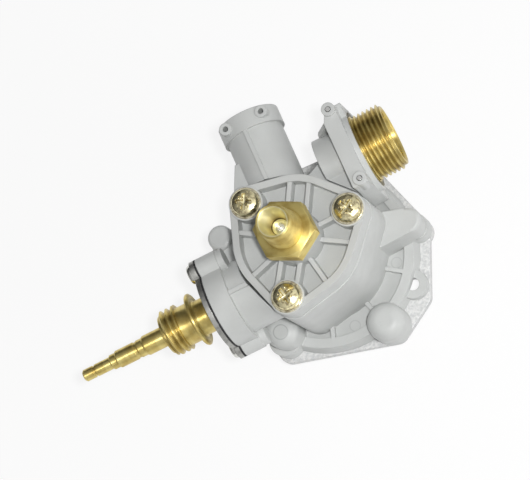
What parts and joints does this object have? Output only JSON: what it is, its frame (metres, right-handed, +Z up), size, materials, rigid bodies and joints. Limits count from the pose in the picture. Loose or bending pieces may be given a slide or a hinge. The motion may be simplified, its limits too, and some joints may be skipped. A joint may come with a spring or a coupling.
{
  "type": "diverter valve",
  "caption": "Moulded water-side diverter valve with a ribbed cap, brass gland with push pin, clipped threaded inlet, plain outlet stub and a stepped control spindle.",
  "frame": {"origin": "centre of the flat on the back cover's dome, which the valve rests on, below the push pin's axis", "axes": "+Z up along the push pin, out of the gland; +X along the inlet, out of the nipple's mouth; +Y along the outlet, out of the stub"},
  "size_m": [0.147, 0.0959, 0.1],
  "materials": {
    "housing": "fine moulded grain with a slight sheen",
    "casting": "bright die-cast, faintly mottled",
    "zinc_steel": "clear zinc plate",
    "yellow_zinc": "yellow zinc plate",
    "brass": "turned",
    "stainless": "drawn wire and ground rod",
    "inner_plastic": "plain moulded",
    "seal_rubber": "matt"
  },
  "bodies": {
    "housing": {"main_body": "housing", "top_cap": "housing", "back_cover": "casting", "cap_screw_washers": "zinc_steel", "cap_screws": "yellow_zinc", "back_cover_screws": "yellow_zinc", "side_cover_screws": "zinc_steel", "pin_gland": "brass", "seat_ring": "brass", "diaphragm": "seal_rubber", "return_spring": "stainless", "inlet_nipple": "brass", "inlet_clip": "stainless", "inlet_filter": "inner_plastic", "side_cover_gasket": "seal_rubber", "side_cover_plate": "zinc_steel", "spindle_gland": "brass", "port_seat": "inner_plastic", "venturi_insert": "inner_plastic", "gland_seal": "seal_rubber", "gland_packing": "seal_rubber", "inlet_o_ring": "seal_rubber", "cap_seal": "seal_rubber"},
    "push_rod": {"push_pin": "stainless", "diaphragm_plate": "inner_plastic", "valve_disc": "seal_rubber"},
    "spindle": {"control_spindle": "brass", "spindle_seals": "seal_rubber"},
    "cone": {"flow_cone": "inner_plastic"}
  },
  "joints": [
    {"name": "push_rod_lift", "type": "slide", "parent": "housing", "child": "push_rod", "axis": [0, 0, 1], "range_m": [0, 0.004], "stiffness_N_per_m": 1500, "springref_m": -0.002, "deforming": ["return_spring"]},
    {"name": "spindle_turn", "type": "hinge", "parent": "housing", "child": "spindle", "pos_m": [-0.06, -0.0078, 0.0556], "axis": [1, 0, 0], "range_deg": [0, 270]},
    {"name": "cone_travel", "type": "slide", "parent": "housing", "child": "cone", "axis": [1, 0, 0], "range_m": [0, 0.003]}
  ],
  "couplings": [
    {"joint": "cone_travel", "follows": "spindle_turn", "m_per_rad": 0.00063662}
  ]
}
